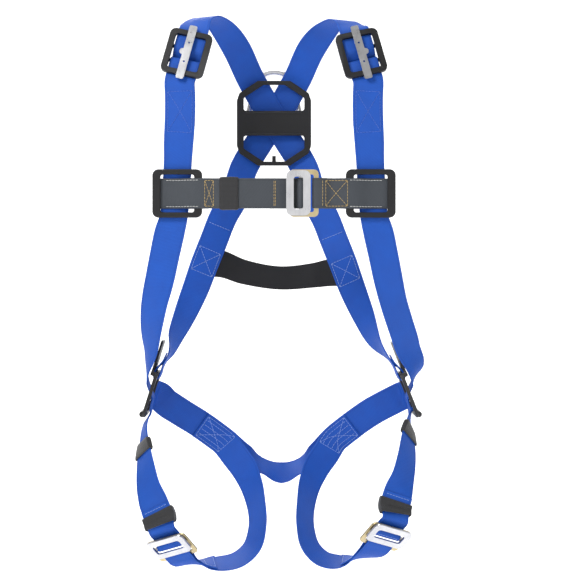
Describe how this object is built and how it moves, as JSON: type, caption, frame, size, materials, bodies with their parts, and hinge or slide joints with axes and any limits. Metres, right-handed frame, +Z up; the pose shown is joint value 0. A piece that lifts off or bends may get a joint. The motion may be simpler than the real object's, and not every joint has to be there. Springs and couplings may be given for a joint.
{
  "type": "full body safety harness",
  "caption": "Full body fall-arrest harness: webbing shoulder and thigh straps, moulded adjusters, chest strap with buckle, back pad and back ring.",
  "frame": {"origin": "centre of the eye of the dorsal ring, where a lanyard clips on", "axes": "+X right as seen from the front, +Y to the wearer's back, +Z up; the harness hangs upright as worn"},
  "size_m": [0.4516, 0.2426, 0.8464],
  "materials": {
    "webbing_blue": "woven polyester webbing, slight sheen",
    "webbing_grey": "woven polyester webbing, charcoal",
    "webbing_black": "woven polyester webbing, black",
    "elastic_black": "ribbed woven elastic, black",
    "moulded_black": "moulded, fine grain, slight gloss",
    "steel": "zinc plated steel, satin",
    "steel_gold": "yellow zinc plated steel, satin"
  },
  "bodies": {
    "webbing": {"rear_strap_left": "webbing_blue", "rear_strap_right": "webbing_blue", "front_strap_left": "webbing_blue", "front_strap_right": "webbing_blue", "seat_strap": "webbing_blue", "leg_strap_left": "webbing_blue", "leg_strap_right": "webbing_blue", "waist_strap": "webbing_black", "back_pad": "moulded_black", "shoulder_frame_left": "moulded_black", "shoulder_frame_right": "moulded_black", "hip_frame_left": "moulded_black", "hip_frame_right": "moulded_black", "leg_buckle_frame_left": "steel_gold", "leg_buckle_frame_right": "steel_gold"},
    "dorsal_ring": {"dorsal_ring": "steel"},
    "chest": {"chest_frame_left": "moulded_black", "chest_frame_right": "moulded_black", "chest_web_left": "webbing_grey", "chest_web_right": "webbing_grey", "chest_buckle_frame": "steel_gold"},
    "chest_link": {"chest_buckle_link": "steel"},
    "chest_keeper": {"chest_keeper": "elastic_black"},
    "shoulder_bar_left": {"shoulder_bar_left": "steel"},
    "shoulder_bar_right": {"shoulder_bar_right": "steel"},
    "hip_bar_left": {"hip_bar_left": "steel"},
    "hip_bar_right": {"hip_bar_right": "steel"},
    "leg_buckle_link_left": {"leg_buckle_link_left": "steel"},
    "leg_buckle_link_right": {"leg_buckle_link_right": "steel"},
    "leg_keeper_upper_left": {"leg_keeper_upper_left": "elastic_black"},
    "leg_keeper_upper_right": {"leg_keeper_upper_right": "elastic_black"},
    "leg_keeper_lower_left": {"leg_keeper_lower_left": "elastic_black"},
    "leg_keeper_lower_right": {"leg_keeper_lower_right": "elastic_black"}
  },
  "joints": [
    {"name": "dorsal_ring_swing", "type": "hinge", "parent": "webbing", "child": "dorsal_ring", "pos_m": [0, -0.02031, -0.05471], "axis": [-1, 0, 0], "range_deg": [0, 70]},
    {"name": "chest_height", "type": "slide", "parent": "webbing", "child": "chest", "axis": [0, 0, 1], "range_m": [-0.015, 0.015], "stiffness_N_per_m": 500},
    {"name": "chest_link_rock", "type": "hinge", "parent": "chest", "child": "chest_link", "pos_m": [0.04, -0.22121, -0.17971], "axis": [0, 0, 1], "range_deg": [-6, 6]},
    {"name": "chest_keeper_slide", "type": "slide", "parent": "chest", "child": "chest_keeper", "axis": [1, 0, 0], "range_m": [-0.008, 0.008]},
    {"name": "shoulder_bar_left_slide", "type": "slide", "parent": "webbing", "child": "shoulder_bar_left", "axis": [-0.9732, 0.073, 0.2181], "range_m": [-0.004, 0.004]},
    {"name": "shoulder_bar_right_slide", "type": "slide", "parent": "webbing", "child": "shoulder_bar_right", "axis": [0.9732, 0.073, 0.2181], "range_m": [-0.004, 0.004]},
    {"name": "hip_bar_left_roll", "type": "hinge", "parent": "webbing", "child": "hip_bar_left", "pos_m": [-0.19241, -0.11921, -0.49133], "axis": [0, 1, 0], "continuous": true},
    {"name": "hip_bar_right_roll", "type": "hinge", "parent": "webbing", "child": "hip_bar_right", "pos_m": [0.21096, -0.11921, -0.49214], "axis": [0, 1, 0], "continuous": true},
    {"name": "leg_link_left_rock", "type": "hinge", "parent": "webbing", "child": "leg_buckle_link_left", "pos_m": [-0.154, -0.20321, -0.70371], "axis": [-0.842, 0.441, -0.3107], "range_deg": [-6, 6]},
    {"name": "leg_link_right_rock", "type": "hinge", "parent": "webbing", "child": "leg_buckle_link_right", "pos_m": [0.168, -0.20321, -0.68771], "axis": [0.842, 0.441, -0.3107], "range_deg": [-6, 6]},
    {"name": "leg_keeper_upper_left_slide", "type": "slide", "parent": "webbing", "child": "leg_keeper_upper_left", "axis": [0.0293, -0.4602, -0.8873], "range_m": [-0.004, 0.004]},
    {"name": "leg_keeper_lower_left_slide", "type": "slide", "parent": "webbing", "child": "leg_keeper_lower_left", "axis": [0.4024, -0.3269, -0.8551], "range_m": [-0.005, 0]},
    {"name": "leg_keeper_upper_right_slide", "type": "slide", "parent": "webbing", "child": "leg_keeper_upper_right", "axis": [-0.1206, -0.5302, -0.8393], "range_m": [-0.003, 0.001]},
    {"name": "leg_keeper_lower_right_slide", "type": "slide", "parent": "webbing", "child": "leg_keeper_lower_right", "axis": [-0.2679, -0.2679, -0.9255], "range_m": [-0.005, 0]}
  ]
}
